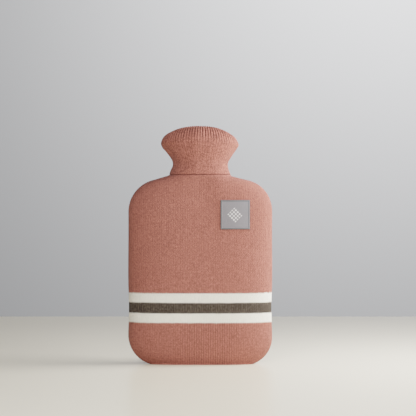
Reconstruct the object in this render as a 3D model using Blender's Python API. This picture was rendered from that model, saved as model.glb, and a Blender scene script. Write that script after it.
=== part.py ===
"""Knitted cover for a hot water bottle, standing on its flat base with nothing inside.

Metres, +Z up. The front faces -Y, X runs across the front, and the origin is the middle of
the base. The cover is hollow: one wall of knitted cloth, open at the mouth.
"""

import collections
import math

import bmesh
import bpy
from mathutils import Vector

MM = 0.001

# The knitted cloth, and the gap that two sewn pieces keep at their seam.
WALL = 3.0 * MM
SEAT_GAP = 0.3 * MM

# The pouch's outline, seen from the front. Soft cloth isn't the same on both sides: the left
# base corner is rounder than the right one, and the right shoulder is the squarer one.
BODY_HALF_WIDTH = 102.0 * MM
NECK_SEAM = 269.2 * MM
Side = collections.namedtuple(
    "Side",
    "corner_radius corner_cut shoulder_start shoulder_radius shoulder_slope"
    " neck_foot_width neck_foot_height seam_width",
)
LEFT = Side(
    corner_radius=43.5 * MM,
    corner_cut=2.0 * MM,
    shoulder_start=215.3 * MM,
    shoulder_radius=48.0 * MM,
    shoulder_slope=math.radians(18.3),
    neck_foot_width=44.4 * MM,
    neck_foot_height=268.4 * MM,
    seam_width=44.0 * MM,
)
RIGHT = Side(
    corner_radius=39.8 * MM,
    corner_cut=2.2 * MM,
    shoulder_start=216.8 * MM,
    shoulder_radius=45.6 * MM,
    shoulder_slope=math.radians(15.5),
    neck_foot_width=44.6 * MM,
    neck_foot_height=267.0 * MM,
    seam_width=43.2 * MM,
)

# The striped bands are knitted a little tighter than the rest.
BAND_PINCH = 0.8 * MM
BAND_MIDDLE = 79.0 * MM
BAND_REACH = 26.0 * MM

# How deep the pouch is from its middle plane to its front, at each height, in millimetres.
DEPTH_TABLE = (
    # height, half depth
    (0.0, 15.0),
    (5.0, 18.6),
    (14.0, 22.0),
    (30.0, 25.0),
    (55.0, 27.3),
    (90.0, 28.7),
    (130.0, 29.0),
    (170.0, 28.0),
    (210.0, 26.3),
    (240.0, 24.9),
    (270.0, 23.8),
)

# The collar's cloth in millimetres, from just above the neck seam up its flare, over the rim
# and down into the mouth. The rim is highest in the middle and lowest at its right side.
COLLAR_TABLE = (
    # left width, right width, half depth, height in the middle, at the left, at the right, rib
    (42.1, 40.6, 23.9, 275.0, 275.0, 275.0, 0.0),
    (38.9, 39.2, 24.2, 282.0, 282.0, 281.5, 0.0),
    (39.6, 40.0, 25.0, 288.0, 288.0, 286.5, 0.0),
    (43.2, 43.6, 26.8, 294.5, 294.0, 292.5, 0.0),
    (48.4, 48.0, 29.0, 302.0, 300.7, 299.2, 0.0),
    (53.4, 51.8, 31.0, 310.0, 306.3, 304.6, 0.2),
    (55.6, 54.6, 31.8, 317.0, 312.0, 310.0, 0.5),
    (54.0, 52.8, 30.8, 324.0, 317.2, 314.6, 0.8),
    (50.2, 49.4, 27.8, 330.2, 322.2, 319.4, 1.0),
    (45.6, 45.2, 23.6, 334.4, 325.6, 323.0, 1.0),
    (41.2, 41.0, 19.5, 335.4, 326.6, 324.2, 0.9),
    (37.6, 37.4, 16.3, 333.0, 324.4, 322.2, 0.7),
    (36.4, 36.2, 15.1, 328.0, 319.5, 317.5, 0.0),
    (36.2, 36.0, 14.9, 321.0, 312.5, 310.5, 0.0),
)
RIM_DROP_POWER = 2.6

# Rows that run past the neck seam before the cloth is cut there.
ROWS_PAST_SEAM = 2
SEAM_OVERRUN = 3.0 * MM

# Sections are rounded oblongs: |x / half width| ** flatness + (y / half depth) ** 2 = 1.
BODY_FLATNESS = 3.2
COLLAR_FLATNESS = 2.2
COLUMNS = 72
SECTION_STEPS = 720

# Points carry the number of their row; those of the cloth's wrong side carry none.
ROW_LAYER = "row"
WRONG_SIDE = -1

# Rows of the mesh over each stretch of the outline.
CORNER_ROWS = 6
SIDE_ROWS = 5
SHOULDER_ROWS = 7
SLOPE_ROWS = 2

# The label, sewn flat on the front.
LABEL_LEFT = 28.6 * MM
LABEL_BOTTOM = 191.2 * MM
LABEL_SIDE = 41.0 * MM
LABEL_THICKNESS = 1.0 * MM
LABEL_CELLS = 8
PROBE = 0.5 * MM

# Creases sharper than this stay sharp in the smooth shading.
EDGE_ANGLE = math.radians(50)

Section = collections.namedtuple(
    "Section",
    "left_width right_width half_depth middle_height left_height right_height flatness rib",
)


def clear_scene():
    """Start from an empty scene."""
    for obj in list(bpy.data.objects):
        bpy.data.objects.remove(obj, do_unlink=True)


def plain_material(name, color, roughness):
    """A Principled material of one even colour."""
    material = bpy.data.materials.new(name)
    material.use_nodes = True
    shader = material.node_tree.nodes["Principled BSDF"]
    shader.inputs["Base Color"].default_value = (*color, 1.0)
    shader.inputs["Roughness"].default_value = roughness
    shader.inputs["Metallic"].default_value = 0.0
    return material


def terracotta_knit():
    return plain_material("terracotta_knit", (0.456, 0.209, 0.162), 0.92)


def terracotta_rib():
    return plain_material("terracotta_rib", (0.474, 0.222, 0.173), 0.92)


def grey_label_weave():
    return plain_material("grey_label_weave", (0.392, 0.381, 0.392), 0.8)


def smooth_lookup(table, at):
    """The value at a place in a two-column table, on a smooth curve through its rows."""
    row = min(len(table) - 2, sum(place <= at for place, _ in table[1:]))
    (x1, y1), (x2, y2) = table[row], table[row + 1]
    x0, y0 = table[max(0, row - 1)]
    x3, y3 = table[min(len(table) - 1, row + 2)]
    span = x2 - x1
    start_slope = span * (y2 - y0) / (x2 - x0)
    end_slope = span * (y3 - y1) / (x3 - x1)
    t = (at - x1) / span
    start = (2 * t**3 - 3 * t**2 + 1) * y1 + (t**3 - 2 * t**2 + t) * start_slope
    end = (3 * t**2 - 2 * t**3) * y2 + (t**3 - t**2) * end_slope
    return start + end


def body_half_depth(height):
    return smooth_lookup(DEPTH_TABLE, height / MM) * MM


def body_half_width(side, height):
    """The front outline: base corner arc, upright side, shoulder arc and slope to the neck."""
    corner_top = side.corner_radius - side.corner_cut
    slope_start = side.shoulder_start + side.shoulder_radius * math.cos(side.shoulder_slope)
    slope_inset = side.shoulder_radius * (1.0 - math.sin(side.shoulder_slope))
    if height < corner_top:
        drop = corner_top - height
        inset = side.corner_radius - math.sqrt(side.corner_radius**2 - drop**2)
    elif height < side.shoulder_start:
        inset = 0.0
    elif height < slope_start:
        rise = height - side.shoulder_start
        inset = side.shoulder_radius - math.sqrt(side.shoulder_radius**2 - rise**2)
    elif height < side.neck_foot_height:
        share = (height - slope_start) / (side.neck_foot_height - slope_start)
        inset = slope_inset + (BODY_HALF_WIDTH - slope_inset - side.neck_foot_width) * share
    else:
        share = (height - side.neck_foot_height) / (NECK_SEAM - side.neck_foot_height)
        narrowed = (side.neck_foot_width - side.seam_width) * share
        inset = BODY_HALF_WIDTH - side.neck_foot_width + narrowed
    pinch = BAND_PINCH * math.exp(-(((height - BAND_MIDDLE) / BAND_REACH) ** 4))
    return BODY_HALF_WIDTH - inset - pinch


def body_flatness(height):
    """The sections turn from a flat oblong to a rounder one over the shoulder."""
    share = (height - LEFT.shoulder_start) / (NECK_SEAM - LEFT.shoulder_start)
    return BODY_FLATNESS + (COLLAR_FLATNESS - BODY_FLATNESS) * max(0.0, share)


def body_section(height):
    left, right = body_half_width(LEFT, height), body_half_width(RIGHT, height)
    depth, flatness = body_half_depth(height), body_flatness(height)
    return Section(left, right, depth, height, height, height, flatness, 0.0)


def body_heights():
    """Heights of the pouch's rows, close together where the outline turns."""
    corner_top = LEFT.corner_radius - LEFT.corner_cut
    ground_angle = math.acos(corner_top / LEFT.corner_radius)
    slope_start = LEFT.shoulder_start + LEFT.shoulder_radius * math.cos(LEFT.shoulder_slope)
    heights = [0.0]
    for row in range(1, CORNER_ROWS):
        angle = ground_angle + (math.pi / 2 - ground_angle) * row / CORNER_ROWS
        heights.append(corner_top - LEFT.corner_radius * math.cos(angle))
    for row in range(SIDE_ROWS):
        heights.append(corner_top + (LEFT.shoulder_start - corner_top) * row / SIDE_ROWS)
    for row in range(SHOULDER_ROWS):
        angle = (math.pi / 2 - LEFT.shoulder_slope) * row / SHOULDER_ROWS
        heights.append(LEFT.shoulder_start + LEFT.shoulder_radius * math.sin(angle))
    for row in range(SLOPE_ROWS):
        heights.append(slope_start + (RIGHT.neck_foot_height - slope_start) * row / SLOPE_ROWS)
    return heights + [RIGHT.neck_foot_height, LEFT.neck_foot_height, NECK_SEAM]


def collar_sections():
    """The collar's own rows above the neck seam."""
    sections = []
    for *sizes, rib in COLLAR_TABLE:
        sections.append(Section(*(size * MM for size in sizes), COLLAR_FLATNESS, rib * MM))
    return sections


def section_point(section, angle):
    """The point of a section at an angle from +X."""
    across = math.copysign(abs(math.cos(angle)) ** (2.0 / section.flatness), math.cos(angle))
    width, side_height = section.left_width, section.left_height
    if across > 0.0:
        width, side_height = section.right_width, section.right_height
    drop = (section.middle_height - side_height) * abs(across) ** RIM_DROP_POWER
    return Vector((
        width * across,
        section.half_depth * math.sin(angle),
        section.middle_height - drop,
    ))


def even_angles(section):
    """Angles that share the length round a section out evenly among the columns."""
    angles = [2 * math.pi * step / SECTION_STEPS for step in range(SECTION_STEPS + 1)]
    points = [section_point(section, angle) for angle in angles]
    lengths = [0.0]
    for start, end in zip(points, points[1:]):
        lengths.append(lengths[-1] + (end - start).length)
    chosen, step = [], 0
    for column in range(COLUMNS):
        wanted = lengths[-1] * column / COLUMNS
        while lengths[step + 1] < wanted:
            step += 1
        share = (wanted - lengths[step]) / (lengths[step + 1] - lengths[step])
        chosen.append(angles[step] + share * (angles[step + 1] - angles[step]))
    return chosen


def sleeve(sections, angles):
    """An open sleeve of cloth through the sections, with its right side out.

    It is extruded as a unit tube, one unit to a row, and each point is then put in its place.
    Every point keeps the number of its row.
    """
    mesh = bmesh.new()
    row_of = mesh.verts.layers.int.new(ROW_LAYER)
    bmesh.ops.create_circle(mesh, segments=COLUMNS, radius=1.0, cap_ends=False)
    edges = mesh.edges[:]
    for _ in sections[1:]:
        grown = bmesh.ops.extrude_edge_only(mesh, edges=edges)["geom"]
        edges = [item for item in grown if isinstance(item, bmesh.types.BMEdge)]
        fresh = [item for item in grown if isinstance(item, bmesh.types.BMVert)]
        bmesh.ops.translate(mesh, verts=fresh, vec=(0.0, 0.0, 1.0))
    for vert in mesh.verts:
        turn = math.atan2(vert.co.y, vert.co.x) / (2 * math.pi)
        column = round(turn * COLUMNS) % COLUMNS
        vert[row_of] = round(vert.co.z)
        vert.co = section_point(sections[vert[row_of]], angles[column])
    mesh.normal_update()
    return mesh


def thicken(mesh):
    """Give the cloth its thickness, inwards from its right side."""
    row_of = mesh.verts.layers.int[ROW_LAYER]
    inner = bmesh.ops.solidify(mesh, geom=mesh.faces[:], thickness=WALL)["geom"]
    for item in inner:
        if isinstance(item, bmesh.types.BMVert):
            item[row_of] = WRONG_SIDE


def trim_at_seam(mesh, height, keep_below):
    """Cut the doubled wall level at the neck seam and close its edge with a flat rim."""
    geometry = mesh.verts[:] + mesh.edges[:] + mesh.faces[:]
    bmesh.ops.bisect_plane(
        mesh,
        geom=geometry,
        plane_co=(0.0, 0.0, height),
        plane_no=(0.0, 0.0, 1.0),
        clear_outer=keep_below,
        clear_inner=not keep_below,
    )
    rims = [edge for edge in mesh.edges if edge.is_boundary]
    bmesh.ops.bridge_loops(mesh, edges=rims)


def raise_ribs(mesh, sections):
    """Split the right side's level edges near the rim and raise their middles into ribs."""
    row_of = mesh.verts.layers.int[ROW_LAYER]
    level = []
    for edge in mesh.edges:
        first, second = (vert[row_of] for vert in edge.verts)
        if first == second != WRONG_SIDE and sections[first].rib > 0.0:
            level.append(edge)
    split = bmesh.ops.subdivide_edges(mesh, edges=level, cuts=1)["geom_inner"]
    mesh.normal_update()
    for item in split:
        if isinstance(item, bmesh.types.BMVert):
            item.co += item.normal * sections[item[row_of]].rib


def finish_object(name, mesh, material):
    """Hand the built mesh to a named object, with its cloth shaded smooth."""
    bmesh.ops.recalc_face_normals(mesh, faces=mesh.faces[:])
    data = bpy.data.meshes.new(name)
    mesh.to_mesh(data)
    mesh.free()
    data.shade_smooth()
    data.set_sharp_from_angle(angle=EDGE_ANGLE)
    data.materials.append(material)
    obj = bpy.data.objects.new(name, data)
    bpy.context.scene.collection.objects.link(obj)
    return obj


def build_pouch():
    """The knitted pouch: flat closed base, upright sides, shoulders and an open neck."""
    sections = [body_section(height) for height in body_heights()]
    angles = even_angles(body_section(BAND_MIDDLE))
    mesh = sleeve(sections + collar_sections()[:ROWS_PAST_SEAM], angles)
    row_of = mesh.verts.layers.int[ROW_LAYER]
    foot = [edge for edge in mesh.edges if all(vert[row_of] == 0 for vert in edge.verts)]
    bmesh.ops.contextual_create(mesh, geom=foot)
    bmesh.ops.recalc_face_normals(mesh, faces=mesh.faces[:])
    thicken(mesh)
    trim_at_seam(mesh, NECK_SEAM, keep_below=True)
    return finish_object("body_pouch", mesh, terracotta_knit())


def build_collar():
    """The flared neck with its ribbed top edge turned over into the mouth."""
    below = [body_section(NECK_SEAM - SEAM_OVERRUN), body_section(NECK_SEAM)]
    sections = below + collar_sections()
    widest = max(sections, key=lambda section: section.left_width)
    mesh = sleeve(sections, even_angles(widest))
    thicken(mesh)
    raise_ribs(mesh, sections)
    trim_at_seam(mesh, NECK_SEAM + SEAT_GAP, keep_below=False)
    return finish_object("neck_collar", mesh, terracotta_rib())


def front_point(x, height):
    """The point of the pouch's front at a place across it and a height."""
    section = body_section(height)
    width = section.right_width if x > 0.0 else section.left_width
    bulge = 1.0 - abs(x / width) ** section.flatness
    return Vector((x, -section.half_depth * math.sqrt(bulge), height))


def front_normal(x, height):
    across = front_point(x + PROBE, height) - front_point(x - PROBE, height)
    upwards = front_point(x, height + PROBE) - front_point(x, height - PROBE)
    return across.cross(upwards).normalized()


def build_label():
    """The woven label, following the curve of the front."""
    mesh = bmesh.new()
    bmesh.ops.create_grid(mesh, x_segments=LABEL_CELLS, y_segments=LABEL_CELLS, size=0.5)
    for vert in mesh.verts:
        x = LABEL_LEFT + LABEL_SIDE * (vert.co.x + 0.5)
        height = LABEL_BOTTOM + LABEL_SIDE * (vert.co.y + 0.5)
        lift = SEAT_GAP + LABEL_THICKNESS
        vert.co = front_point(x, height) + front_normal(x, height) * lift
    mesh.normal_update()
    bmesh.ops.solidify(mesh, geom=mesh.faces[:], thickness=LABEL_THICKNESS)
    return finish_object("woven_label", mesh, grey_label_weave())


clear_scene()
build_pouch()
build_collar()
build_label()
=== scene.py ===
# %% [markdown]
# # A knitted cover for a hot water bottle
#
# The real cover is two pieces of jersey knit. The pouch holds the bottle's body, and the
# collar is a funnel of its own, linked to the pouch at the neck and turned over into a
# ribbed edge at the mouth. A small woven label is sewn flat on the front.
#
# The packed model has the true shapes with a smooth skin. This lesson dresses it: the wales
# of the knit are raised in the mesh, the stitches are made in a material, and each new piece
# stands in for its plain solid.

import math
from collections import namedtuple

import bmesh
import bpy
from mathutils import Matrix, Vector, noise


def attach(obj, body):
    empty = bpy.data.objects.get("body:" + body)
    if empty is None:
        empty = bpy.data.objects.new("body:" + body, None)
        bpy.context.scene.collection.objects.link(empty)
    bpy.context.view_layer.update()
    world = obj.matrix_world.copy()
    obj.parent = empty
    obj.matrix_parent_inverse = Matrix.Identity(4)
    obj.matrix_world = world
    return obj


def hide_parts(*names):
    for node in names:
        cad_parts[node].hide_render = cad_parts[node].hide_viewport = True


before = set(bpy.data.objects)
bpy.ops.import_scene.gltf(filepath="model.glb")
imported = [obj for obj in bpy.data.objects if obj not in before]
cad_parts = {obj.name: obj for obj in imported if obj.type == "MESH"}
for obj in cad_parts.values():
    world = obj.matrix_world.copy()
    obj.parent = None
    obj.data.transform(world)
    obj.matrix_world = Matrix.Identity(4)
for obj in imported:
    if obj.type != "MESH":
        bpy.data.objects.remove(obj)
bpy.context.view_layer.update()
MM = 0.001

# %% [markdown]
# ## The sizes of the cover
#
# The sizes are those of the packed part, so that every new piece lies on its solid. Soft cloth
# isn't the same on both sides, so the left and the right of the outline have sizes of their
# own. A table of heights and depths would do for the whole outline as well, but arcs and
# straight lines say what a knitter would measure, and only the belly's depth needs a table.

# %% Measures of the pouch
WALL = 3.0 * MM
SEAT_GAP = 0.3 * MM
BODY_HALF_WIDTH = 102.0 * MM
BELLY_HEIGHT = 130.0 * MM
NECK_SEAM = 269.2 * MM
Side = namedtuple(
    "Side",
    "corner_radius corner_cut shoulder_start shoulder_radius shoulder_slope"
    " neck_foot_width neck_foot_height seam_width",
)
LEFT = Side(
    corner_radius=43.5 * MM,
    corner_cut=2.0 * MM,
    shoulder_start=215.3 * MM,
    shoulder_radius=48.0 * MM,
    shoulder_slope=math.radians(18.3),
    neck_foot_width=44.4 * MM,
    neck_foot_height=268.4 * MM,
    seam_width=44.0 * MM,
)
RIGHT = Side(
    corner_radius=39.8 * MM,
    corner_cut=2.2 * MM,
    shoulder_start=216.8 * MM,
    shoulder_radius=45.6 * MM,
    shoulder_slope=math.radians(15.5),
    neck_foot_width=44.6 * MM,
    neck_foot_height=267.0 * MM,
    seam_width=43.2 * MM,
)

# The striped bands are knitted a little tighter than the rest.
BAND_PINCH = 0.8 * MM
BAND_MIDDLE = 79.0 * MM
BAND_REACH = 26.0 * MM

BODY_FLATNESS = 3.2
COLLAR_FLATNESS = 2.2
DEPTH_TABLE = (
    # height, half depth, in millimetres
    (0.0, 15.0),
    (5.0, 18.6),
    (14.0, 22.0),
    (30.0, 25.0),
    (55.0, 27.3),
    (90.0, 28.7),
    (130.0, 29.0),
    (170.0, 28.0),
    (210.0, 26.3),
    (240.0, 24.9),
    (270.0, 23.8),
)
print("shoulders in mm, left and right:", LEFT.shoulder_start / MM, RIGHT.shoulder_start / MM)


# %% Width and depth at a height
def smooth_lookup(table, at):
    """The value at a place in a two-column table, on a smooth curve through its rows."""
    row = min(len(table) - 2, sum(place <= at for place, _ in table[1:]))
    (x1, y1), (x2, y2) = table[row], table[row + 1]
    x0, y0 = table[max(0, row - 1)]
    x3, y3 = table[min(len(table) - 1, row + 2)]
    span = x2 - x1
    start_slope = span * (y2 - y0) / (x2 - x0)
    end_slope = span * (y3 - y1) / (x3 - x1)
    t = (at - x1) / span
    start = (2 * t**3 - 3 * t**2 + 1) * y1 + (t**3 - 2 * t**2 + t) * start_slope
    end = (3 * t**2 - 2 * t**3) * y2 + (t**3 - t**2) * end_slope
    return start + end


def full_width(side, height):
    """Half the width of the front outline, before the bands pull it in."""
    corner_top = side.corner_radius - side.corner_cut
    slope_start = side.shoulder_start + side.shoulder_radius * math.cos(side.shoulder_slope)
    slope_inset = side.shoulder_radius * (1.0 - math.sin(side.shoulder_slope))
    if height < corner_top:
        drop = corner_top - height
        inset = side.corner_radius - math.sqrt(side.corner_radius**2 - drop**2)
    elif height < side.shoulder_start:
        inset = 0.0
    elif height < slope_start:
        rise = height - side.shoulder_start
        inset = side.shoulder_radius - math.sqrt(side.shoulder_radius**2 - rise**2)
    elif height < side.neck_foot_height:
        share = (height - slope_start) / (side.neck_foot_height - slope_start)
        inset = slope_inset + (BODY_HALF_WIDTH - slope_inset - side.neck_foot_width) * share
    else:
        share = (height - side.neck_foot_height) / (NECK_SEAM - side.neck_foot_height)
        narrowed = (side.neck_foot_width - side.seam_width) * share
        inset = BODY_HALF_WIDTH - side.neck_foot_width + narrowed
    return BODY_HALF_WIDTH - inset


def band_pinch(height):
    """How far the bands pull the outline in on each side."""
    return BAND_PINCH * math.exp(-(((height - BAND_MIDDLE) / BAND_REACH) ** 4))


def half_depth(height):
    """From the middle of the pouch to its front or back."""
    return smooth_lookup(DEPTH_TABLE, height / MM) * MM


def flatness(height):
    """The sections turn from a flat oblong to a rounder one over the shoulder."""
    share = (height - LEFT.shoulder_start) / (NECK_SEAM - LEFT.shoulder_start)
    return BODY_FLATNESS + (COLLAR_FLATNESS - BODY_FLATNESS) * max(0.0, share)


def cloth_point(across, height, facing):
    """The pouch's surface at a width and a height; facing is -1 in front and 1 behind."""
    full = full_width(RIGHT if across > 0.0 else LEFT, height)
    bulge = max(0.0, 1.0 - abs(across / full) ** flatness(height))
    pulled_in = across * (full - band_pinch(height)) / full
    return Vector((pulled_in, facing * half_depth(height) * math.sqrt(bulge), height))


print("widest:", 2 * full_width(LEFT, BELLY_HEIGHT) / MM, "mm")
print("deepest:", 2 * half_depth(BELLY_HEIGHT) / MM, "mm")

# %% [markdown]
# ## Wales and courses
#
# Jersey knit is made of upright columns of V-shaped stitches, called wales, and of rows of
# them, called courses. On the real pouch the wales stand upright and run off at the shoulders
# and at the base corners. A tube of cloth, narrowed towards the neck, would squeeze them
# together instead. So the front and the back are each a grid whose columns stay at one width,
# and whose ends are drawn out to the outline, where the two grids are merged.

# %% Count the wales of the pouch
WALE = 3.3 * MM
COURSE = 2.17 * MM
COLUMNS_PER_WALE = 4
FINE_STEPS = 2000


def lengths_along(points):
    """The length along a line of points, up to each of them."""
    lengths = [0.0]
    for start, end in zip(points, points[1:]):
        lengths.append(lengths[-1] + math.dist(start, end))
    return lengths


def shared_out(values, lengths, shares):
    """The values at even shares of the whole length, from its start to its end."""
    chosen, step = [], 0
    for share in range(shares + 1):
        wanted = lengths[-1] * share / shares
        while step < len(lengths) - 2 and lengths[step + 1] < wanted:
            step += 1
        part = (wanted - lengths[step]) / (lengths[step + 1] - lengths[step])
        chosen.append(values[step] + part * (values[step + 1] - values[step]))
    return chosen


def belly_places():
    """Widths, from left to right, that share the belly's front out evenly."""
    turns = [math.pi * step / FINE_STEPS for step in range(FINE_STEPS + 1)]
    widths = []
    for turn in turns:
        share = math.copysign(abs(math.cos(turn)) ** (2.0 / BODY_FLATNESS), -math.cos(turn))
        widths.append(BODY_HALF_WIDTH * share)
    depths = [half_depth(BELLY_HEIGHT) * math.sin(turn) for turn in turns]
    lengths = lengths_along(list(zip(widths, depths)))
    wales = round(lengths[-1] / WALE)
    places = shared_out(widths, lengths, wales * COLUMNS_PER_WALE)
    places[0], places[-1] = -BODY_HALF_WIDTH, BODY_HALF_WIDTH
    return places, lengths[-1]


PLACES, BELLY_FRONT = belly_places()
PANEL_COLUMNS = len(PLACES) - 1
print("front of the belly in mm:", round(BELLY_FRONT / MM))
print("wales in it:", PANEL_COLUMNS // COLUMNS_PER_WALE)


# %% Where the columns and rows lie
PANEL_ROWS = 104
END_CROWDING = 0.9
HALVINGS = 50


def outline_height(across, rising):
    """Where an upright line at this width meets the outline: at the base, or the shoulder."""
    side = RIGHT if across > 0.0 else LEFT
    width = abs(across)
    low, high = (0.0, BELLY_HEIGHT) if rising else (BELLY_HEIGHT, NECK_SEAM)
    end = low if rising else high
    if full_width(side, end) >= width:
        return end
    for _ in range(HALVINGS):
        half = (low + high) / 2
        if (full_width(side, half) >= width) == rising:
            high = half
        else:
            low = half
    return high if rising else low


def row_share(row):
    """How far up a column a row lies: rows crowd together towards both ends."""
    share = row / PANEL_ROWS
    return share - END_CROWDING * math.sin(2 * math.pi * share) / (2 * math.pi)


print("cells of a panel:", PANEL_COLUMNS * PANEL_ROWS)

# %% [markdown]
# ## Relief of the cloth
#
# A wale is a soft ridge with a narrow groove on each side. Where the cloth is stretched over
# the belly the grooves are shallow, and below the stripes they are about half a millimetre
# deep. They could be drawn as a bump in the material only, but a mesh also shows them at the
# edge of the piece and in a shadow. The stitches within a wale are too many for that, so they
# are left to the material.
#
# The neck seam lies in a small dip, and the base is tucked in. The real cloth isn't quite
# even either, so a slow swell goes over it, and a few soft folds are placed one by one.

# %% Measures of the relief
RIDGE_POWER = 0.6
WALE_DEPTH = 0.16 * MM
LOW_WALE_DEPTH = 0.45 * MM
LOW_WALES_END = 62.0 * MM
LOW_WALES_FADE = 3.0 * MM
LOW_WALES_MIDDLE = 12.0 * MM
LOW_WALES_REACH = 42.0 * MM
SEAM_DIP = 1.0 * MM
SEAM_REACH = 0.8 * MM
SEAM_FACING = 8.0 * MM
SEAM_DROP = 0.9 * MM
SEAM_SAG = 0.3 * MM
SEAM_SAG_REACH = 12.0 * MM
SWELL = 0.30 * MM
SWELL_SIZE = 55.0 * MM
BASE_FADE = 4.0 * MM
TUCK = 2.6 * MM
TUCK_REACH_LEFT = 15.0 * MM
TUCK_REACH_RIGHT = 21.0 * MM
TUCK_SHIFT = 30.0 * MM
TUCK_FACING = 12.0 * MM
FOLD_FACING = 8.0 * MM
Fold = namedtuple("Fold", "start_x start_z end_x end_z reach height")
FOLDS = (
    # soft ridges, and troughs where the height is negative, in millimetres on the front
    Fold(24.0, 268.0, 30.0, 236.0, 14.0, 0.8),
    Fold(4.0, 262.0, 2.0, 246.0, 11.0, -0.4),
    Fold(-8.0, 278.0, -3.0, 326.0, 9.0, 0.9),
)
print("grooves in mm, at the belly and below the stripes:", WALE_DEPTH / MM, LOW_WALE_DEPTH / MM)


# %% Relief at a point of the cloth
def wale_ridge(wales_along):
    """From 0 in the groove between two wales to 1 on the crest of a wale."""
    return abs(math.sin(math.pi * wales_along)) ** RIDGE_POWER


def folds_at(point):
    """The soft folds of the front, at a point of the cloth."""
    height = 0.0
    for fold in FOLDS:
        start = Vector((fold.start_x, fold.start_z)) * MM
        run = Vector((fold.end_x, fold.end_z)) * MM - start
        place = Vector((point.x, point.z)) - start
        share = min(1.0, max(0.0, place.dot(run) / run.dot(run)))
        away = (place - run * share).length / (fold.reach * MM)
        height += fold.height * MM * math.exp(-away * away)
    return height * min(1.0, max(0.0, -point.y / FOLD_FACING))


def base_tuck(point):
    """Front and back are tucked in towards the base, from higher up on the right."""
    share = 0.5 + 0.5 * math.tanh(point.x / TUCK_SHIFT)
    reach = TUCK_REACH_LEFT + (TUCK_REACH_RIGHT - TUCK_REACH_LEFT) * share
    facing = min(1.0, abs(point.y) / TUCK_FACING)
    return TUCK * facing * math.exp(-((point.z / reach) ** 2))


def seam_dip(point):
    """The seam is drawn in along the front and the back, but not at its two ends."""
    from_seam = (point.z - NECK_SEAM) / SEAM_REACH
    return SEAM_DIP * min(1.0, abs(point.y) / SEAM_FACING) * math.exp(-from_seam * from_seam)


def pouch_relief(wales_along, point):
    """How far the cloth lies out from, or in from, the smooth shape."""
    low = 1.0 / (1.0 + math.exp((point.z - LOW_WALES_END) / LOW_WALES_FADE))
    low *= math.exp(-(((point.x - LOW_WALES_MIDDLE) / LOW_WALES_REACH) ** 4))
    depth = WALE_DEPTH + (LOW_WALE_DEPTH - WALE_DEPTH) * low
    relief = -depth * (1.0 - wale_ridge(wales_along))
    relief += SWELL * noise.noise(point / SWELL_SIZE) + folds_at(point)
    return relief * min(1.0, point.z / BASE_FADE) - base_tuck(point) - seam_dip(point)


def seam_sag(point):
    """The neck seam sits a little low, and lowest in its middle."""
    away = (point.z - NECK_SEAM) / SEAM_SAG_REACH
    middle = max(0.0, 1.0 - (point.x / LEFT.seam_width) ** 2)
    return (SEAM_DROP + SEAM_SAG * middle) * math.exp(-away * away)


print("tuck at the front of the base in mm:", base_tuck(cloth_point(0.0, 0.0, -1)) / MM)

# %% [markdown]
# ## The pouch
#
# Each panel starts as a flat grid, and every point of it is put in its place on the cover.
# While the grid is still whole, it gets a UV map in wales and courses, which the knit's
# material reads: that way the stitches follow the cloth. Courses are counted along the cloth
# from the middle of the stripes, so that the stripes stay level and the stitches near the
# shoulder ridge keep their size.

# %% A panel of upright wales
UV_NAME = "stitches"
RELIEF = "relief"


def knit_panel(facing):
    """The front or the back of the pouch as a grid on the cover, with its stitches counted."""
    panel = bmesh.new()
    bmesh.ops.create_grid(panel, x_segments=PANEL_COLUMNS, y_segments=PANEL_ROWS, size=0.5)
    relief = panel.verts.layers.float.new(RELIEF)
    stitches = panel.loops.layers.uv.new(UV_NAME)
    points = []
    for across in PLACES:
        low, high = outline_height(across, True), outline_height(across, False)
        heights = [low + (high - low) * row_share(row) for row in range(PANEL_ROWS + 1)]
        points.append([cloth_point(across, height, facing) for height in heights])
    counts = []
    for column in points:
        along = lengths_along(column)
        middle = min(range(len(column)), key=lambda row: abs(column[row].z - BAND_MIDDLE))
        offset = column[middle].z - along[middle]
        counts.append([(length + offset) / COURSE for length in along])
    place_of = {}
    for vert in panel.verts:
        column = round((vert.co.x + 0.5) * PANEL_COLUMNS)
        row = round((vert.co.y + 0.5) * PANEL_ROWS)
        place_of[vert.index] = column, row
        vert.co = points[column][row]
        vert[relief] = pouch_relief(column / COLUMNS_PER_WALE, vert.co)
    for face in panel.faces:
        for loop in face.loops:
            column, row = place_of[loop.vert.index]
            loop[stitches].uv = column / COLUMNS_PER_WALE, counts[column][row]
    return panel


def join(meshes):
    """Several bmeshes in one, with their layers."""
    joined = bmesh.new()
    for mesh in meshes:
        carrier = bpy.data.meshes.new("carrier")
        mesh.to_mesh(carrier)
        mesh.free()
        joined.from_mesh(carrier)
        bpy.data.meshes.remove(carrier)
    return joined


# %% [markdown]
# The inside of the cloth shows only at the mouth, so it needs far fewer points than the right
# side. It is extruded from a circle as a coarse sleeve, given its thickness with solidify, and
# only the new inner skin of it is kept. A Solidify modifier on the fine mesh would do the
# same with twice the triangles.

# %% Sections and sleeves
Section = namedtuple(
    "Section",
    "left_width right_width half_depth middle_height left_height right_height flatness rib",
)
RIM_DROP_POWER = 2.6
SECTION_STEPS = 1440
LINING_COLUMNS = 96
SAME_PLACE = 0.01 * MM
SHARP_ANGLE = math.radians(60)


def pouch_section(height):
    """The pouch's level section at a height."""
    pinch = band_pinch(height)
    left, right = full_width(LEFT, height) - pinch, full_width(RIGHT, height) - pinch
    return Section(left, right, half_depth(height), *[height] * 3, flatness(height), 0.0)


def section_point(section, turn):
    """The point of a section at an angle from the right-hand end."""
    across = math.copysign(abs(math.cos(turn)) ** (2.0 / section.flatness), math.cos(turn))
    width, side_height = section.left_width, section.left_height
    if across > 0.0:
        width, side_height = section.right_width, section.right_height
    drop = (section.middle_height - side_height) * abs(across) ** RIM_DROP_POWER
    return Vector(
        (width * across, section.half_depth * math.sin(turn), section.middle_height - drop)
    )


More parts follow.
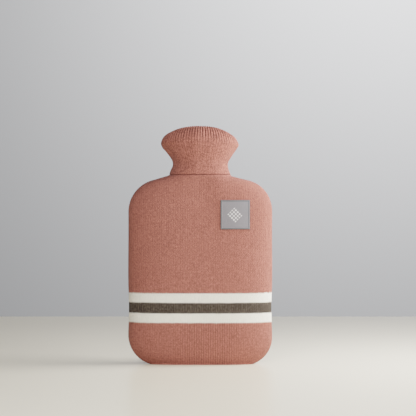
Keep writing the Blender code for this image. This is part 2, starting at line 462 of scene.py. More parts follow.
def round_section(section):
    """Angles in fine steps round a section, and the length along it up to each."""
    turns = [2 * math.pi * step / SECTION_STEPS for step in range(SECTION_STEPS + 1)]
    return turns, lengths_along([section_point(section, turn) for turn in turns])


def even_turns(section, columns):
    """Angles that share the length round a section out evenly among the columns."""
    return shared_out(*round_section(section), columns)[:-1]


print("girth of the neck seam in mm:", round(round_section(pouch_section(NECK_SEAM))[1][-1] / MM))


# %% Sleeves, skins and finished cloth
def sleeve(sections, turns):
    """An open sleeve of cloth through the sections, extruded ring by ring from a circle."""
    columns = len(turns)
    mesh = bmesh.new()
    bmesh.ops.create_circle(mesh, segments=columns, radius=1.0, cap_ends=False)
    edges = mesh.edges[:]
    for _ in sections[1:]:
        grown = bmesh.ops.extrude_edge_only(mesh, edges=edges)["geom"]
        edges = [item for item in grown if isinstance(item, bmesh.types.BMEdge)]
        fresh = [item for item in grown if isinstance(item, bmesh.types.BMVert)]
        bmesh.ops.translate(mesh, verts=fresh, vec=(0.0, 0.0, 1.0))
    mesh.verts.index_update()
    place_of = {}
    for vert in mesh.verts:
        turn = math.atan2(vert.co.y, vert.co.x) / (2 * math.pi)
        column = round(turn * columns) % columns
        row = round(vert.co.z)
        place_of[vert.index] = column, row
        vert.co = section_point(sections[row], turns[column])
    mesh.normal_update()
    return mesh, place_of


def wrong_side(mesh):
    """The inner skin of the cloth, a wall's thickness inside its right side."""
    kept = set(bmesh.ops.solidify(mesh, geom=mesh.faces[:], thickness=WALL)["geom"])
    outer = [face for face in mesh.faces if face not in kept]
    bmesh.ops.delete(mesh, geom=outer, context="FACES")
    mesh.verts.layers.float.new(RELIEF)
    mesh.loops.layers.uv.new(UV_NAME)
    return mesh


def close_between(mesh, picks):
    """Bridge the open loops whose points all pass a test."""
    rims = [edge for edge in mesh.edges if edge.is_boundary and all(map(picks, edge.verts))]
    bmesh.ops.bridge_loops(mesh, edges=rims)


def open_edges_of(data):
    """The edges that don't border exactly two faces; a closed cloth has none."""
    seen = {}
    for polygon in data.polygons:
        for key in polygon.edge_keys:
            seen[key] = seen.get(key, 0) + 1
    return [key for key, times in seen.items() if times != 2]


def finish_cloth(name, mesh):
    """Hand the built mesh to a named object at the origin."""
    bmesh.ops.recalc_face_normals(mesh, faces=mesh.faces[:])
    data = bpy.data.meshes.new(name)
    mesh.to_mesh(data)
    mesh.free()
    data.shade_smooth()
    data.set_sharp_from_angle(angle=SHARP_ANGLE)
    obj = bpy.data.objects.new(name, data)
    bpy.context.scene.collection.objects.link(obj)
    print(name, "faces:", len(data.polygons), "open edges:", len(open_edges_of(data)))
    return obj


# %% Build the pouch
LINING_HEIGHTS = (0.0, 3.0, 9.0, 18.0, 29.0, 41.5, 70.0, 110.0, 150.0, 190.0, 215.0, 232.0,
                  246.0, 256.0, 263.0, 267.0, 269.2)
NEAR_SEAM = 6.0 * MM
NEAR_FOOT = 1.0 * MM


def apply_relief(mesh):
    """Move every point along its normal by its relief; the foot and the neck stay level."""
    relief = mesh.verts.layers.float[RELIEF]
    mesh.normal_update()
    for vert in mesh.verts:
        height = vert.co.z
        level = height < SAME_PLACE or abs(height - NECK_SEAM) < SAME_PLACE
        vert.co += vert.normal * vert[relief]
        vert.co.z = height if level else max(0.0, vert.co.z)


def split_corner_cells(mesh):
    """Halve each cell with three corners on the outline, so that no half of it lies flat there."""
    for face in mesh.faces[:]:
        off = [spot for spot, vert in enumerate(face.verts) if abs(vert.co.y) > SAME_PLACE]
        if len(face.verts) == 4 and len(off) == 1:
            pair = [face.verts[off[0]], face.verts[(off[0] + 2) % 4]]
            bmesh.ops.connect_verts(mesh, verts=pair)


def build_pouch():
    """The pouch: two knitted panels merged at the outline, a flat foot and an inner skin."""
    shell = join([knit_panel(-1), knit_panel(1)])
    bmesh.ops.remove_doubles(shell, verts=shell.verts[:], dist=SAME_PLACE)
    split_corner_cells(shell)
    foot = [edge for edge in shell.edges if edge.is_boundary
            and all(vert.co.z < NEAR_FOOT for vert in edge.verts)]
    bmesh.ops.contextual_create(shell, geom=foot)
    bmesh.ops.recalc_face_normals(shell, faces=shell.faces[:])
    apply_relief(shell)
    sections = [pouch_section(height * MM) for height in LINING_HEIGHTS]
    lining, _ = sleeve(sections, even_turns(pouch_section(BELLY_HEIGHT), LINING_COLUMNS))
    base = [edge for edge in lining.edges if all(vert.co.z < SAME_PLACE for vert in edge.verts)]
    bmesh.ops.contextual_create(lining, geom=base)
    bmesh.ops.recalc_face_normals(lining, faces=lining.faces[:])
    cloth = join([shell, wrong_side(lining)])
    close_between(cloth, lambda vert: vert.co.z > NECK_SEAM - NEAR_SEAM)
    for vert in cloth.verts:
        vert.co.z -= seam_sag(vert.co)
    return finish_cloth("knitted_pouch", cloth)


pouch = build_pouch()

# %% [markdown]
# ## The collar
#
# The collar narrows above the seam, flares, and rolls over its rim into the mouth, where its
# ribbed edge ends. Its ribs fan out with the rim, so here a sleeve is right: each rib keeps its
# place in the ring while the ring widens. The table has a ring every few millimetres, and a
# smooth curve through its rows gives the rings between.

# %% The rings of the collar
COLLAR_TABLE = (
    # left width, right width, half depth, height in the middle, at the left, at the right, rib
    (42.1, 40.6, 23.9, 275.0, 275.0, 275.0, 0.0),
    (38.9, 39.2, 24.2, 282.0, 282.0, 281.5, 0.0),
    (39.6, 40.0, 25.0, 288.0, 288.0, 286.5, 0.0),
    (43.2, 43.6, 26.8, 294.5, 294.0, 292.5, 0.0),
    (48.4, 48.0, 29.0, 302.0, 300.7, 299.2, 0.0),
    (53.4, 51.8, 31.0, 310.0, 306.3, 304.6, 0.0),
    (55.6, 54.6, 31.8, 317.0, 312.0, 310.0, 0.1),
    (54.0, 52.8, 30.8, 324.0, 317.2, 314.6, 0.5),
    (50.2, 49.4, 27.8, 330.2, 322.2, 319.4, 1.0),
    (45.6, 45.2, 23.6, 334.4, 325.6, 323.0, 1.0),
    (41.2, 41.0, 19.5, 335.4, 326.6, 324.2, 0.9),
    (37.6, 37.4, 16.3, 333.0, 324.4, 322.2, 0.7),
    (36.4, 36.2, 15.1, 328.0, 319.5, 317.5, 0.0),
    (36.2, 36.0, 14.9, 321.0, 312.5, 310.5, 0.0),
)
COLLAR_RIBS = 72
COLUMNS_PER_RIB = 8
RINGS_BETWEEN = 5
FIRST_RINGS = 14
COLLAR_WALE_DEPTH = 0.12 * MM
RIB_GROOVE_SHARE = 0.5
TURN_START = -12.0 * MM
TURN_WIDTH = 30.0 * MM
TURN_DEPTH = 3.0 * MM
TURN_FACING = 12.0 * MM
TURN_MIDDLE = 294.0 * MM
TURN_REACH = 20.0 * MM


def collar_rows():
    """The table's sections, with the seam's own below them."""
    seam = pouch_section(NECK_SEAM)
    rows = [seam._replace(flatness=COLLAR_FLATNESS)]
    for *sizes, rib in COLLAR_TABLE:
        rows.append(Section(*(size * MM for size in sizes), COLLAR_FLATNESS, rib * MM))
    return rows


def rings_through(rows, between):
    """More rings on a smooth curve through every column of the rows."""
    rings = []
    first = [step / FIRST_RINGS for step in range(FIRST_RINGS)]
    rest = [1 + step / between for step in range((len(rows) - 2) * between + 1)]
    for at in first + rest:
        values = []
        for column in range(len(rows[0])):
            table = [(index, row[column]) for index, row in enumerate(rows)]
            values.append(smooth_lookup(table, at))
        rings.append(Section(*values))
    return rings


print("collar:", COLLAR_RIBS, "ribs of", COLUMNS_PER_RIB, "columns")


# %% Raise the ribs, and build the collar
def turned_away(point):
    """The left third of the collar's front lies back, past a soft upright crease."""
    share = min(1.0, max(0.0, (TURN_START - point.x) / TURN_WIDTH))
    facing = min(1.0, max(0.0, -point.y / TURN_FACING))
    from_middle = (point.z - TURN_MIDDLE) / TURN_REACH
    return TURN_DEPTH * facing * share * share * math.exp(-(from_middle**4))


def collar_relief(ribs_along, rib, point):
    """Ribs stand out near the rim, and shallow wales lie below them."""
    ridge = wale_ridge(ribs_along)
    groove = COLLAR_WALE_DEPTH + RIB_GROOVE_SHARE * rib
    relief = rib * ridge - groove * (1.0 - ridge)
    relief += 0.5 * SWELL * noise.noise(point / SWELL_SIZE) + folds_at(point)
    return relief - turned_away(point) - seam_dip(point)


def build_collar():
    """The collar: a ribbed right side and a coarse inner skin, closed at both ends."""
    rows = collar_rows()
    rings = rings_through(rows, RINGS_BETWEEN)
    columns = COLLAR_RIBS * COLUMNS_PER_RIB
    widest = max(rings, key=lambda ring: ring.left_width)
    turns = even_turns(widest, columns)
    skin, place_of = sleeve(rings, turns)
    relief = skin.verts.layers.float.new(RELIEF)
    stitches = skin.loops.layers.uv.new(UV_NAME)
    counts = []
    for turn in turns:
        lengths = lengths_along([section_point(ring, turn) for ring in rings])
        counts.append([(NECK_SEAM + length) / COURSE for length in lengths])
    skin.verts.ensure_lookup_table()
    for vert in skin.verts:
        column, row = place_of[vert.index]
        vert[relief] = collar_relief(column / COLUMNS_PER_RIB, rings[row].rib, vert.co)
    for face in skin.faces:
        ends = [place_of[vert.index][0] for vert in face.verts]
        wraps = max(ends) - min(ends) > 1
        for loop in face.loops:
            column, row = place_of[loop.vert.index]
            count = columns if wraps and column == 0 else column
            loop[stitches].uv = count / COLUMNS_PER_RIB, counts[column][row]
    apply_relief(skin)
    lining, _ = sleeve(rows, even_turns(widest, LINING_COLUMNS))
    cloth = join([skin, wrong_side(lining)])
    for vert in cloth.verts:
        vert.co.z = max(vert.co.z, NECK_SEAM + SEAT_GAP)
    close_between(cloth, lambda vert: vert.co.z < NECK_SEAM + NEAR_SEAM)
    close_between(cloth, lambda vert: vert.co.z > NECK_SEAM + NEAR_SEAM)
    for vert in cloth.verts:
        vert.co.z -= seam_sag(vert.co)
    return finish_cloth("knitted_collar", cloth)


collar = build_collar()

# %% [markdown]
# ## The label
#
# The label is a scrap of satin ribbon, its edges folded under and sewn flat on the knit. It is
# a grid laid on the front, which bows with it, and solidify gives it its thickness. The fold
# makes the edge thicker than the field, and the stitches pull small dents into it.

# %% Lay the label on the front
LABEL_LEFT = 28.6 * MM
LABEL_BOTTOM = 191.2 * MM
LABEL_SIDE = 41.0 * MM
LABEL_THICKNESS = 1.0 * MM
LABEL_CELLS = 96
FOLD_WIDTH = 2.2 * MM
FOLD_EDGE = 0.15 * MM
FOLD_HEIGHT = 0.25 * MM
RIM_WIDTH = 0.5 * MM
RIM_DROP = 0.35 * MM
SEWING_PITCH = 2.0 * MM
SEWING_INSET = 1.1 * MM
SEWING_REACH = 0.4 * MM
SEWING_DENT = 0.2 * MM
PROBE = 0.5 * MM


def front_normal(x, height):
    """Straight out from the pouch's front at a place."""
    across = cloth_point(x + PROBE, height, -1) - cloth_point(x - PROBE, height, -1)
    upwards = cloth_point(x, height + PROBE, -1) - cloth_point(x, height - PROBE, -1)
    return across.cross(upwards).normalized()


def label_relief(across, up):
    """The folded edge is thick, thins to nothing at its rim and is dented by the sewing."""
    from_edge = min(across, up, LABEL_SIDE - across, LABEL_SIDE - up)
    fold = 1.0 / (1.0 + math.exp((from_edge - FOLD_WIDTH) / FOLD_EDGE))
    rim = max(0.0, 1.0 - from_edge / RIM_WIDTH) ** 2
    along = up if min(across, LABEL_SIDE - across) == from_edge else across
    on_line = math.exp(-(((from_edge - SEWING_INSET) / SEWING_REACH) ** 2))
    dent = on_line * max(0.0, math.cos(2 * math.pi * along / SEWING_PITCH))
    return FOLD_HEIGHT * fold - RIM_DROP * rim - SEWING_DENT * dent


def build_label():
    """The woven label on the front."""
    mesh = bmesh.new()
    bmesh.ops.create_grid(mesh, x_segments=LABEL_CELLS, y_segments=LABEL_CELLS, size=0.5)
    weave = mesh.loops.layers.uv.new(UV_NAME)
    place_of = {}
    for vert in mesh.verts:
        across, up = LABEL_SIDE * (vert.co.x + 0.5), LABEL_SIDE * (vert.co.y + 0.5)
        place_of[vert.index] = across / LABEL_SIDE, up / LABEL_SIDE
        x, height = LABEL_LEFT + across, LABEL_BOTTOM + up
        lift = SEAT_GAP + LABEL_THICKNESS + label_relief(across, up)
        vert.co = cloth_point(x, height, -1) + front_normal(x, height) * lift
    for face in mesh.faces:
        for loop in face.loops:
            loop[weave].uv = place_of[loop.vert.index]
    mesh.normal_update()
    bmesh.ops.solidify(mesh, geom=mesh.faces[:], thickness=LABEL_THICKNESS)
    return finish_cloth("sewn_label", mesh)


label = build_label()

# %% [markdown]
# ## Yarn and stitches
#
# A stitch is two legs of yarn that lean together into a V. The group below folds every wale at
# its middle, so that one leg stands for both, and slants the courses along the leg. It gives
# the height of the yarn for a bump, how deep a point lies between the yarns, how near it is
# to the groove between two wales, a number of its own for each stitch, and the number of the
# course, from which the stripes are coloured. A photograph of knit would repeat, and wouldn't
# follow the wales of the mesh.

# %% Helpers that lay out nodes
class Nodes:
    """Adds nodes to a tree and links them, so that a chain of sums reads as one line."""

    def __init__(self, tree):
        self.tree = tree

    def put(self, value, socket):
        """Link an output to an input, or set the input's value."""
        if isinstance(value, bpy.types.NodeSocket):
            self.tree.links.new(value, socket)
        else:
            socket.default_value = value

    def fill(self, node, inputs):
        """Put each value into the input that has its name or number."""
        for name, value in inputs.items():
            self.put(value, node.inputs[name])

    def add(self, kind, inputs=None, **settings):
        """A new node with its settings and inputs."""
        node = self.tree.nodes.new(kind)
        for name, value in settings.items():
            setattr(node, name, value)
        self.fill(node, inputs or {})
        return node

    def math(self, operation, *values):
        """One step of arithmetic."""
        inputs = dict(enumerate(values))
        return self.add("ShaderNodeMath", inputs, operation=operation).outputs[0]

    def mix(self, share, first, second, blend="MIX"):
        """Two colours mixed, or one multiplied by the other."""
        node = self.add("ShaderNodeMix", {"Factor": share}, data_type="RGBA", blend_type=blend)
        for value, name in ((first, "A"), (second, "B")):
            socket = [s for s in node.inputs if s.name == name and s.type == "RGBA"][0]
            self.put(value, socket)
        return [s for s in node.outputs if s.type == "RGBA"][0]

    def toned(self, color, tone):
        """A colour made darker or lighter by a tone."""
        grey = self.add("ShaderNodeCombineColor", {"Red": tone, "Green": tone, "Blue": tone})
        return self.mix(1.0, color, grey.outputs[0], "MULTIPLY")

    def ramp(self, value, low, high, to_low=0.0, to_high=1.0):
        """A smooth change from one number to another as the value goes from low to high."""
        inputs = {"Value": value, "From Min": low, "From Max": high,
                  "To Min": to_low, "To Max": to_high}
        node = self.add("ShaderNodeMapRange", inputs, interpolation_type="SMOOTHSTEP")
        return node.outputs["Result"]

    def split(self, vector):
        """The parts X, Y and Z of a vector."""
        return self.add("ShaderNodeSeparateXYZ", {"Vector": vector}).outputs

    def bump(self, height, strength, distance):
        """The normal that a height gives."""
        inputs = {"Height": height, "Strength": strength, "Distance": distance}
        return self.add("ShaderNodeBump", inputs).outputs["Normal"]


def new_material(name):
    """A material, its helper and its shader."""
    material = bpy.data.materials.new(name)
    material.use_nodes = True
    return material, Nodes(material.node_tree), material.node_tree.nodes["Principled BSDF"]


def group(name, inputs, outputs):
    """An empty node group with named sockets, and its helper, input and output nodes."""
    tree = bpy.data.node_groups.new(name, "ShaderNodeTree")
    for label, kind, value in inputs:
        socket = tree.interface.new_socket(label, in_out="INPUT", socket_type=kind)
        if value is not None:
            socket.default_value = value
    for label, kind in outputs:
        tree.interface.new_socket(label, in_out="OUTPUT", socket_type=kind)
    nodes = Nodes(tree)
    return nodes, nodes.add("NodeGroupInput").outputs, nodes.add("NodeGroupOutput").inputs


print("the helper can:", [name for name in vars(Nodes) if not name.startswith("_")])

# %% The stitch group
WOBBLE_SCALE = 0.55
WALE_WOBBLE = 0.22
LEG_MIDDLE = 0.26
LEG_ROUNDING = 7.0
YARN_ROUNDING = 3.2


def make_stitch_group():
    """Jersey stitches from a UV map in wales and courses."""
    nodes, given, out = group(
        "Jersey stitches",
        [("Stitches", "NodeSocketVector", None), ("Slant", "NodeSocketFloat", 2.0)],
        [("Height", "NodeSocketFloat"), ("Gap", "NodeSocketFloat"),
         ("Groove", "NodeSocketFloat"), ("Stitch Tone", "NodeSocketFloat"),
         ("Course", "NodeSocketFloat")],
    )
    place = nodes.split(given["Stitches"])
    noise_inputs = {"Vector": given["Stitches"], "Scale": WOBBLE_SCALE}
    wobble = nodes.add("ShaderNodeTexNoise", noise_inputs, noise_dimensions="2D")
    wander = nodes.math("SUBTRACT", wobble.outputs["Fac"], 0.5)
    shift = nodes.math("MULTIPLY", wander, WALE_WOBBLE)
    along = nodes.math("ADD", place["X"], shift)
    wale = nodes.math("FLOOR", along)
    leg = nodes.math("ABSOLUTE", nodes.math("SUBTRACT", nodes.math("FRACT", along), 0.5))
    lean = nodes.math("MULTIPLY", leg, given["Slant"])
    drift = nodes.math("SUBTRACT", wobble.outputs["Color"], 0.5)
    up = nodes.math("SUBTRACT", nodes.math("ADD", place["Y"], drift), lean)
    course = nodes.math("FLOOR", up)
    within = nodes.math("SUBTRACT", nodes.math("FRACT", up), 0.5)
    across_yarn = nodes.math("POWER", nodes.math("ABSOLUTE", within), 2.0)
    along_wale = nodes.math("POWER", nodes.math("SUBTRACT", leg, LEG_MIDDLE), 2.0)
    fall = nodes.math("MULTIPLY_ADD", along_wale, LEG_ROUNDING,
                      nodes.math("MULTIPLY", across_yarn, YARN_ROUNDING))
    height = nodes.math("MAXIMUM", nodes.math("SUBTRACT", 1.0, fall), 0.0)
    nodes.put(height, out["Height"])
    nodes.put(nodes.ramp(height, 0.15, 0.75, 1.0, 0.0), out["Gap"])
    nodes.put(nodes.ramp(leg, 0.1, 0.45), out["Groove"])
    number = nodes.add("ShaderNodeCombineXYZ", {"X": wale, "Y": course}).outputs[0]
    white = nodes.add("ShaderNodeTexWhiteNoise", {"Vector": number}, noise_dimensions="2D")
    nodes.put(white.outputs["Value"], out["Stitch Tone"])
    nodes.put(course, out["Course"])
    return nodes.tree


STITCH_GROUP = make_stitch_group()
print("group sockets:", [item.name for item in STITCH_GROUP.interface.items_tree])

# %% [markdown]
# ## Dyed yarn
#
# The knit is dull and soft, with a faint bloom of loose fibres, which Sheen gives. Painted shade
# makes its colour darker between the yarns. The colour also differs a little from stitch to
# stitch and from fibre to fibre, and drifts slowly over the cloth. Painted shade darkens the
# grooves between wales too, most of all at the ribbed rim and below the stripes, where they are
# deepest, and painted light lifts the crests a little. The stripes are knitted in: each course
# is one yarn, so the stripes step with the stitches and their edges have fine teeth, as in the
# real cloth.

# %% Colours and strengths of the knit
# Each yarn has a deep colour of painted shade, for the gaps between the yarns.
TERRACOTTA = (0.331, 0.112, 0.086, 1.0)
TERRACOTTA_GAP_SHADE = (0.160, 0.043, 0.032, 1.0)
WHITE_YARN = (0.900, 0.860, 0.760, 1.0)
WHITE_GAP_SHADE = (0.800, 0.740, 0.620, 1.0)
BROWN_YARN = (0.060, 0.047, 0.037, 1.0)
BROWN_GAP_SHADE = (0.036, 0.027, 0.020, 1.0)
STRIPE_BOTTOM = 59.15 * MM / COURSE
WHITE_COURSES = 6
BROWN_COURSES = 7
# Painted shade in the grooves between wales, strongest below the stripes and at the rim; the
# crests get a little painted light.
BODY_GROOVE_SHADE = 0.15
LOW_GROOVE_SHADE = 0.38
RIM_GROOVE_SHADE = 0.38
GROOVE_SHADE_EVEN = 0.3
SEAM_SHADE = 0.3
STITCH_GAIN = 0.3
FIBRE_GAIN = 3.7
TERRACOTTA_SPREAD = 0.42
COLLAR_SPREAD = 0.65
WHITE_SPREAD = 0.16
BROWN_SPREAD = 0.90
# How much of the painted shade the gaps between the yarns get.
GAP_SHADE_STRENGTH = 0.55
DRIFT_SCALE = 28.0
FIBRE_SCALE = 500.0
FIBRE_BUMP = 0.4
RIM_START, RIM_FULL = 308.0 * MM, 322.0 * MM
LOW_FULL, LOW_END = 58.0 * MM, 64.0 * MM
LOW_LEFT_END, LOW_LEFT_FULL = -45.0 * MM, 0.0
LOW_RIGHT_FULL, LOW_RIGHT_END = 30.0 * MM, 65.0 * MM
SEAM_LINE, SEAM_LINE_END = 0.2, 0.45
print("courses below the stripes:", round(STRIPE_BOTTOM, 1))


# %% The knit materials
def groove_shade_strength(nodes, place, striped):
    """How dark the painted shade in the grooves between wales is: most below the stripes, or near
    the rim.
    """
    at = nodes.split(place)
    if not striped:
        return nodes.ramp(at["Z"], RIM_START, RIM_FULL, BODY_GROOVE_SHADE, RIM_GROOVE_SHADE)
    low = nodes.ramp(at["Z"], LOW_FULL, LOW_END, 1.0, 0.0)
    left = nodes.ramp(at["X"], LOW_LEFT_END, LOW_LEFT_FULL, 0.0, 1.0)
    right = nodes.ramp(at["X"], LOW_RIGHT_FULL, LOW_RIGHT_END, 1.0, 0.0)
    share = nodes.math("MULTIPLY", nodes.math("MULTIPLY", low, left), right)
    return nodes.math("MULTIPLY_ADD", share, LOW_GROOVE_SHADE - BODY_GROOVE_SHADE, BODY_GROOVE_SHADE)


def knit_material(name, striped, bump_distance):
    """Terracotta yarn in jersey stitches, with or without the stripes."""
    material, nodes, shader = new_material(name)
    uv = nodes.add("ShaderNodeUVMap", uv_map=UV_NAME).outputs["UV"]
    from_stripe = {0: uv, 1: (0.0, STRIPE_BOTTOM % 1.0, 0.0)}
    moved = nodes.add("ShaderNodeVectorMath", from_stripe, operation="SUBTRACT")
    stitches = {"Stitches": moved.outputs[0]}
    stitch = nodes.add("ShaderNodeGroup", stitches, node_tree=STITCH_GROUP).outputs
    # The deep colours are painted shade for the gaps between the yarns.
    yarn, gap_shade = TERRACOTTA, TERRACOTTA_GAP_SHADE
    spread = TERRACOTTA_SPREAD if striped else COLLAR_SPREAD
    if striped:
        first = math.floor(STRIPE_BOTTOM)
        course = nodes.math("ADD", stitch["Course"], 0.5)
        for start, count, top, stripe_gap_shade, step in (
            (first, 2 * WHITE_COURSES + BROWN_COURSES, WHITE_YARN, WHITE_GAP_SHADE,
             WHITE_SPREAD - TERRACOTTA_SPREAD),
            (first + WHITE_COURSES, BROWN_COURSES, BROWN_YARN, BROWN_GAP_SHADE,
             BROWN_SPREAD - WHITE_SPREAD),
        ):
            inside = nodes.math("MULTIPLY", nodes.math("GREATER_THAN", course, start),
                                nodes.math("LESS_THAN", course, start + count))
            yarn = nodes.mix(inside, yarn, top)
            gap_shade = nodes.mix(inside, gap_shade, stripe_gap_shade)
            spread = nodes.math("MULTIPLY_ADD", inside, step, spread)
    place = nodes.add("ShaderNodeTexCoord").outputs["Object"]
    drift = nodes.add("ShaderNodeTexNoise", {"Vector": place, "Scale": DRIFT_SCALE})
    fibre_inputs = {"Vector": place, "Scale": FIBRE_SCALE, "Detail": 3.0, "Roughness": 0.6}
    fibre = nodes.add("ShaderNodeTexNoise", fibre_inputs).outputs["Fac"]
    # Painted shade where a point lies deep between the yarns.
    gap_shade_share = nodes.math("MULTIPLY", stitch["Gap"], GAP_SHADE_STRENGTH)
    color = nodes.mix(gap_shade_share, yarn, gap_shade)
    stitch_tone = nodes.math("MULTIPLY_ADD", stitch["Stitch Tone"], STITCH_GAIN,
                             -0.5 * (STITCH_GAIN + FIBRE_GAIN))
    from_even = nodes.math("MULTIPLY_ADD", fibre, FIBRE_GAIN, stitch_tone)
    tone = nodes.math("MULTIPLY_ADD", from_even, spread, 1.0)
    tone = nodes.math("MULTIPLY", tone, nodes.ramp(drift.outputs["Fac"], 0.3, 0.7, 0.98, 1.02))
    # Painted shade in the grooves between wales, and a little painted light on their crests.
    groove = nodes.math("SUBTRACT", GROOVE_SHADE_EVEN, stitch["Groove"])
    strength = nodes.math("MULTIPLY", groove_shade_strength(nodes, place, striped),
                          nodes.math("DIVIDE", spread, TERRACOTTA_SPREAD))
    tone = nodes.math("MULTIPLY", tone, nodes.math("MULTIPLY_ADD", groove, strength, 1.0))
    if not striped:
        from_seam = nodes.math("SUBTRACT", nodes.split(uv)["Y"], NECK_SEAM / COURSE)
        away = nodes.math("ABSOLUTE", from_seam)
        shade = nodes.ramp(away, SEAM_LINE, SEAM_LINE_END, SEAM_SHADE, 1.0)
        tone = nodes.math("MULTIPLY", tone, shade)
    height = nodes.math("MULTIPLY_ADD", fibre, FIBRE_BUMP, stitch["Height"])
    nodes.fill(shader, {
        "Base Color": nodes.toned(color, tone),
        "Normal": nodes.bump(height, 0.8, bump_distance),
        "Roughness": 0.95,
        "Specular IOR Level": 0.15,
        "Sheen Weight": 0.05,
        "Sheen Roughness": 0.4,
        "Sheen Tint": (1.0, 0.85, 0.80, 1.0),
    })
    return material


striped_knit = knit_material("terracotta_striped_knit", striped=True, bump_distance=0.6 * MM)
plain_knit = knit_material("terracotta_ribbed_knit", striped=False, bump_distance=0.5 * MM)
for piece, knit in ((pouch, striped_knit), (collar, plain_knit)):
    piece.data.materials.append(knit)
    print(piece.name, "nodes:", len(knit.node_tree.nodes))

# %% [markdown]
# ## Satin ribbon
#
# The label is woven of grey thread. Its warp makes fine upright lines and a slight gloss,
# the folded edge is a darker blue-grey, and white weft threads draw the lozenge.

# %% The label's material
LABEL_GREY = (0.167, 0.157, 0.170, 1.0)
LABEL_EDGE = (0.098, 0.095, 0.101, 1.0)
LABEL_WHITE = (0.620, 0.600, 0.600, 1.0)
BORDER_START, BORDER_FULL = 0.444, 0.452
LOZENGE_FULL, LOZENGE_END = 0.262, 0.266
DIAMOND_PITCH = 0.13
DIAMOND_FULL, DIAMOND_END = 0.27, 0.31
WARP_SCALE = 28.0
WEFT_SCALE = 36.0


def label_material():
    """Grey woven satin with a darker border and a white lozenge of small diamonds."""
    material, nodes, shader = new_material("grey_woven_satin")
    uv = nodes.add("ShaderNodeUVMap", uv_map=UV_NAME).outputs["UV"]
    x, y, _ = nodes.split(uv)
    from_middle_x = nodes.math("ABSOLUTE", nodes.math("SUBTRACT", x, 0.5))
    from_middle_y = nodes.math("ABSOLUTE", nodes.math("SUBTRACT", y, 0.5))
    square = nodes.math("MAXIMUM", from_middle_x, from_middle_y)
    border = nodes.ramp(square, BORDER_START, BORDER_FULL)
    lozenge = nodes.math("ADD", from_middle_x, from_middle_y)
    inside = nodes.ramp(lozenge, LOZENGE_FULL, LOZENGE_END, 1.0, 0.0)
    cells = []
    for direction in ("ADD", "SUBTRACT"):
        slanted = nodes.math("DIVIDE", nodes.math(direction, x, y), DIAMOND_PITCH)
        shifted = nodes.math("ADD", slanted, 0.5)
        off = nodes.math("ABSOLUTE", nodes.math("SUBTRACT", nodes.math("FRACT", shifted), 0.5))
        cells.append(nodes.ramp(off, DIAMOND_FULL, DIAMOND_END, 1.0, 0.0))
    diamonds = nodes.math("MULTIPLY", nodes.math("MULTIPLY", *cells), inside)
    color = nodes.mix(border, LABEL_GREY, LABEL_EDGE)
    color = nodes.mix(diamonds, color, LABEL_WHITE)
    waves = []
    for direction, scale in (("X", WARP_SCALE), ("Y", WEFT_SCALE)):
        wave_inputs = {"Vector": uv, "Scale": scale}
        wave = nodes.add("ShaderNodeTexWave", wave_inputs, bands_direction=direction)
        waves.append(wave.outputs["Fac"])
    threads = nodes.math("MULTIPLY", *waves)
    tone = nodes.ramp(threads, 0.0, 1.0, 0.90, 1.06)
    nodes.fill(shader, {
        "Base Color": nodes.toned(color, tone),
        "Normal": nodes.bump(threads, 0.4, 0.12 * MM),
        "Roughness": 0.6,
        "Specular IOR Level": 0.4,
    })
    return material


satin = label_material()
label.data.materials.append(satin)
print(label.name, "nodes:", len(satin.node_tree.nodes))

# %% [markdown]
# ## Hand the pieces over
#
# Each piece rides on the cover's one body and stands for its packed solid, and the area of one
# side of its cloth is printed.

# %% Bodies and cloth areas
def cloth_area(obj):
    """Half of a closed cloth's surface, which is the area of one side of it."""
    return sum(polygon.area for polygon in obj.data.polygons) / 2


for piece, node, finish in (
    (pouch, "body_pouch", "terracotta_knit"),
    (collar, "neck_collar", "terracotta_rib"),
    (label, "woven_label", "grey_label_weave"),
):
    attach(piece, "root")
    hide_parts(node)
    print(piece.name, "one side of the cloth:", round(cloth_area(piece) * 1e4), "square cm")

# %% [markdown]
# ## A quiet studio
#
# The cover stands on a pale table in front of a plain grey wall. Two large soft lights and a
# small near one come from the right, so that the cloth fades from light on the right to dark
# on the left. A weaker one in front fills the shadows, and one more washes the wall. The
# Filmic view rolls bright tones off softly, so that the white stripes keep their stitches.

# %% Table and wall
def plain_board(name, width, near, far, low, high, color, roughness):
    """A flat board, level or upright."""
    mesh = bmesh.new()
    bmesh.ops.create_grid(mesh, x_segments=1, y_segments=1, size=0.5)
    level = low == high
    for vert in mesh.verts:
        x, share = vert.co.x * width, vert.co.y + 0.5
        if level:
            vert.co = (x, near + (far - near) * share, low)
        else:
            vert.co = (x, near, low + (high - low) * share)
    mesh.normal_update()
    data = bpy.data.meshes.new(name)
    mesh.to_mesh(data)
    mesh.free()
    obj = bpy.data.objects.new(name, data)
    bpy.context.scene.collection.objects.link(obj)
    material, nodes, shader = new_material(name)
    nodes.fill(shader, {
        "Base Color": (*color, 1.0),
        "Roughness": roughness,
        "Specular IOR Level": 0.2,
    })
    data.materials.append(material)
    return obj


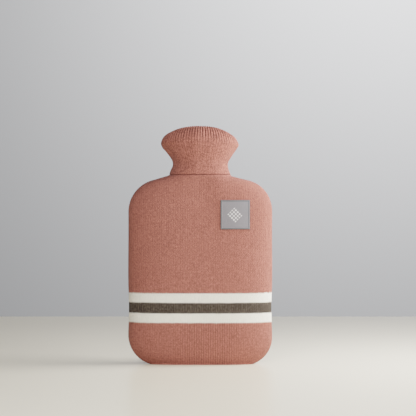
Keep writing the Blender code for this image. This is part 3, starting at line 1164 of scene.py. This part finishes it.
table = plain_board("table", width=8.0, near=-4.0, far=0.873, low=0.0, high=0.0,
                    color=(0.82, 0.742, 0.585), roughness=0.3)
wall = plain_board("wall", width=30.0, near=4.0, far=4.0, low=-4.0, high=8.0,
                   color=(0.55, 0.555, 0.57), roughness=0.9)
print("table and wall:", [round(size, 2) for size in (*table.dimensions, *wall.dimensions)])

# %% Light
def soft_light(name, place, aim, size, watts):
    """A square light, with its side in metres, that looks at a point."""
    lamp = bpy.data.lights.new(name, "AREA")
    lamp.shape = "SQUARE"
    lamp.size = size
    lamp.energy = watts
    obj = bpy.data.objects.new(name, lamp)
    bpy.context.scene.collection.objects.link(obj)
    direction = Vector(aim) - Vector(place)
    turn = direction.to_track_quat("-Z", "Y").to_matrix().to_4x4()
    obj.matrix_world = Matrix.Translation(place) @ turn
    print(name, "at", place, "with", watts, "W")


COVER_MIDDLE = (0.0, 0.0, 0.17)
soft_light("right window", (1.3, 0.0, 0.62), COVER_MIDDLE, 1.0, 13.5)
soft_light("front window", (1.1, -0.7, 0.52), COVER_MIDDLE, 1.0, 17.5)
soft_light("near lamp", (0.55, -0.02, 0.44), (0.0, 0.0, 0.26), 0.3, 8.8)
soft_light("front fill", (-0.10, -1.05, 0.66), COVER_MIDDLE, 0.6, 10.0)
soft_light("wall light", (1.05, 2.6, 2.0), (0.65, 4.0, 0.9), 1.6, 131.0)

world = bpy.data.worlds.new("room light")
world.use_nodes = True
background = world.node_tree.nodes["Background"]
background.inputs["Color"].default_value = (1.0, 1.0, 1.0, 1.0)
background.inputs["Strength"].default_value = 0.03
bpy.context.scene.world = world
bpy.context.scene.view_settings.view_transform = "Filmic"

# %% Camera
CAMERA_DISTANCE = 2.0
CAMERA_HEIGHT = 221.1 * MM
CAMERA_ACROSS = 11.06 * MM
LENS_MM = 122.0
SENSOR_MM = 36.0

lens = bpy.data.cameras.new("camera")
lens.lens = LENS_MM
lens.sensor_width = SENSOR_MM
camera = bpy.data.objects.new("camera", lens)
bpy.context.scene.collection.objects.link(camera)
camera.location = (CAMERA_ACROSS, -CAMERA_DISTANCE, CAMERA_HEIGHT)
camera.rotation_euler = (math.pi / 2, 0.0, 0.0)
bpy.context.scene.camera = camera
print("width in view at the cover in mm:", round(CAMERA_DISTANCE * SENSOR_MM / LENS_MM / MM))
